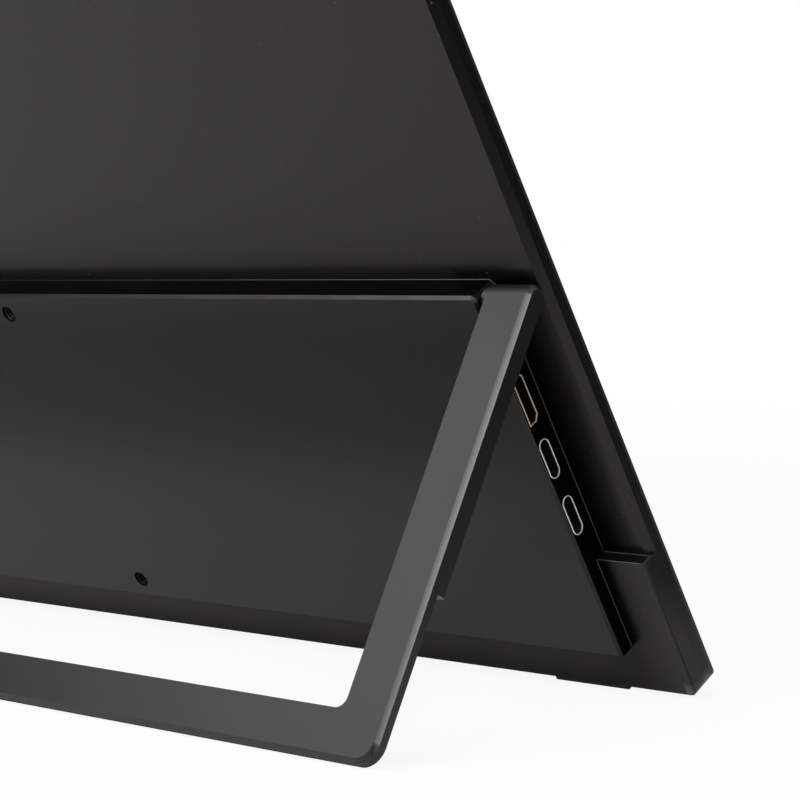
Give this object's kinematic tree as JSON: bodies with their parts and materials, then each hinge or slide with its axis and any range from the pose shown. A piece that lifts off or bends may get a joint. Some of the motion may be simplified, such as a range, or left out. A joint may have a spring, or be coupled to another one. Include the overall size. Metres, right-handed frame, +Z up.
{
  "type": "portable monitor",
  "caption": "Slim portable monitor leaning on a folding U-shaped stand, with a raised rear housing, side sockets, push keys and threaded mounting holes in its back.",
  "frame": {"origin": "centre of the bounding box's footprint, on the floor that the feet and the stand rest on", "axes": "+X towards the key side (left seen from behind), +Y out of the back, +Z up; the screen faces -Y"},
  "size_m": [0.3928, 0.1228, 0.2098],
  "materials": {
    "shell_black": "satin black coating",
    "cover_black": "satin black coating",
    "stand_grey": "satin dark grey coating",
    "bezel_black": "matt black",
    "screen": "dark anti-glare glass",
    "clear_sheet": "clear acrylic",
    "white_sheet": "white film",
    "sheet_metal": "plain sheet",
    "tape_grey": "adhesive tape",
    "board_green": "solder mask",
    "cable_tan": "polyimide film",
    "screw_steel": "plated steel",
    "spreader_metal": "plain aluminium",
    "socket_steel": "nickel plate",
    "socket_gold": "gold plate",
    "jack_black": "moulded",
    "speaker_black": "moulded",
    "key_black": "satin moulded",
    "spring_steel": "spring steel",
    "washer_plastic": "acetal",
    "insert_brass": "knurled brass",
    "foot_rubber": "matt rubber"
  },
  "bodies": {
    "monitor": {"rear_shell": "shell_black", "box_cover": "cover_black", "front_bezel": "bezel_black", "panel_tray": "sheet_metal", "reflector_sheet": "white_sheet", "light_guide": "clear_sheet", "led_strip": "white_sheet", "optical_films": "clear_sheet", "lcd_cell": "screen", "panel_tape": "tape_grey", "tcon_board": "board_green", "display_cable": "cable_tan", "main_board": "board_green", "board_screws": "screw_steel", "heat_spreader": "spreader_metal", "usb_c_socket_upper": "socket_steel", "usb_c_socket_lower": "socket_steel", "mini_hdmi_socket": "socket_gold", "headphone_jack": "jack_black", "speaker_right": "speaker_black", "speaker_left": "speaker_black", "key_board": "board_green", "power_switch": "screw_steel", "menu_switches": "screw_steel", "rocker_pin": "spring_steel", "hinge_clip_right": "spring_steel", "hinge_clip_left": "spring_steel", "clip_screws": "screw_steel", "hinge_washer_right": "washer_plastic", "hinge_washer_left": "washer_plastic", "vesa_inserts": "insert_brass", "cover_screws": "screw_steel", "rubber_feet": "foot_rubber"},
    "stand": {"stand_frame": "stand_grey", "hinge_shaft_right": "spring_steel", "hinge_shaft_left": "spring_steel"},
    "power_button": {"power_button": "key_black"},
    "menu_rocker": {"menu_rocker": "key_black"}
  },
  "joints": [
    {"name": "stand_hinge", "type": "hinge", "parent": "monitor", "child": "stand", "pos_m": [0, -0.00773, 0.0815], "axis": [1, 0, 0], "range_deg": [-58.25, 26]},
    {"name": "power_push", "type": "slide", "parent": "monitor", "child": "power_button", "axis": [-1, 0, 0], "range_m": [0, 0.0004], "stiffness_N_per_m": 400},
    {"name": "menu_rock", "type": "hinge", "parent": "monitor", "child": "menu_rocker", "pos_m": [0.1819, -0.01846, 0.06084], "axis": [0, 0.8643, -0.503], "range_deg": [-4, 4], "stiffness_Nm_per_rad": 0.07}
  ]
}
